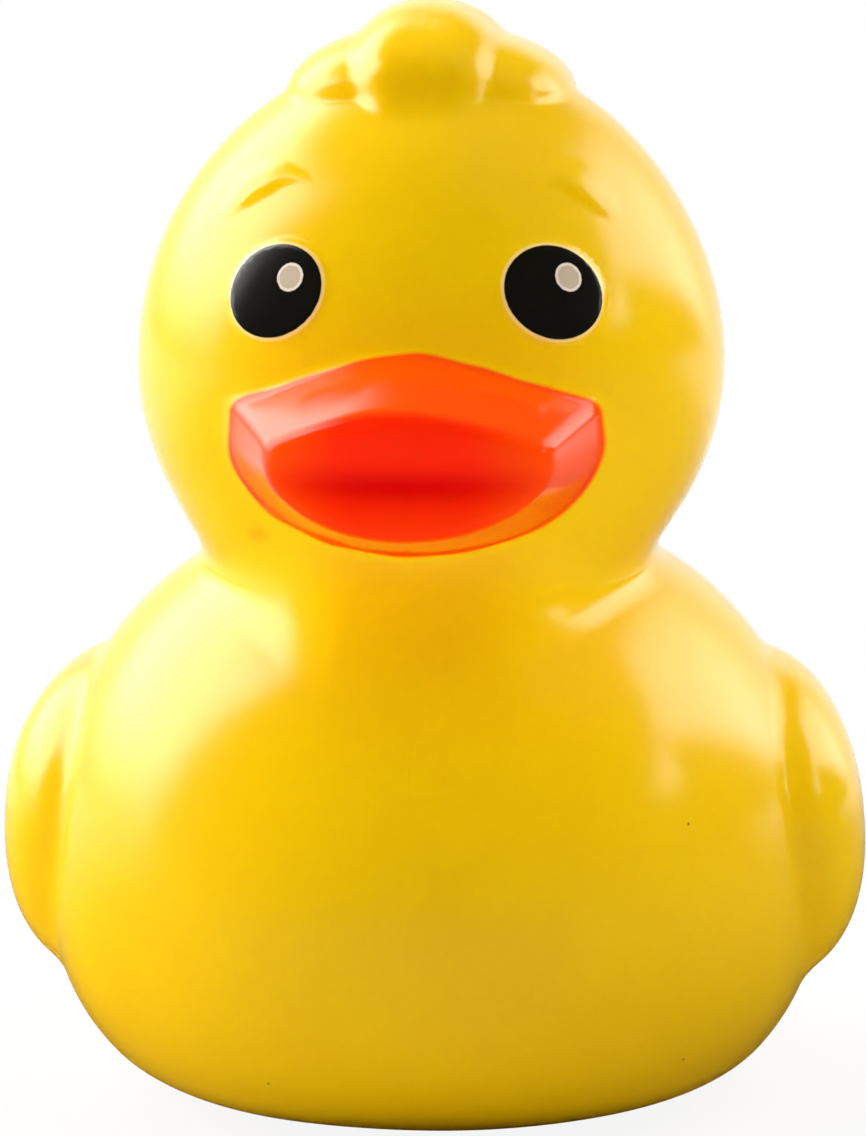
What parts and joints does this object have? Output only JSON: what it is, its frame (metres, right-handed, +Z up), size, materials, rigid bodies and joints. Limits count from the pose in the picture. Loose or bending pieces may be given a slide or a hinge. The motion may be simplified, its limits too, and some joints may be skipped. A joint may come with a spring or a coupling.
{
  "type": "squishy toy duck",
  "caption": "Soft toy duck moulded in one piece, with folded wings, a raised tail, a lobed tuft, printed eyes and a blunt open bill, standing on a flat base.",
  "frame": {"origin": "on the flat base, under the middle of the duck's box", "axes": "+Z up; the bill points along -Y and the tail along +Y; +X is the viewer's right when facing the bill"},
  "size_m": [0.0676, 0.082, 0.0861],
  "materials": {
    "soft_vinyl": "glossy moulded soft vinyl"
  },
  "bodies": {
    "root": {"duck": "soft_vinyl"}
  },
  "joints": []
}
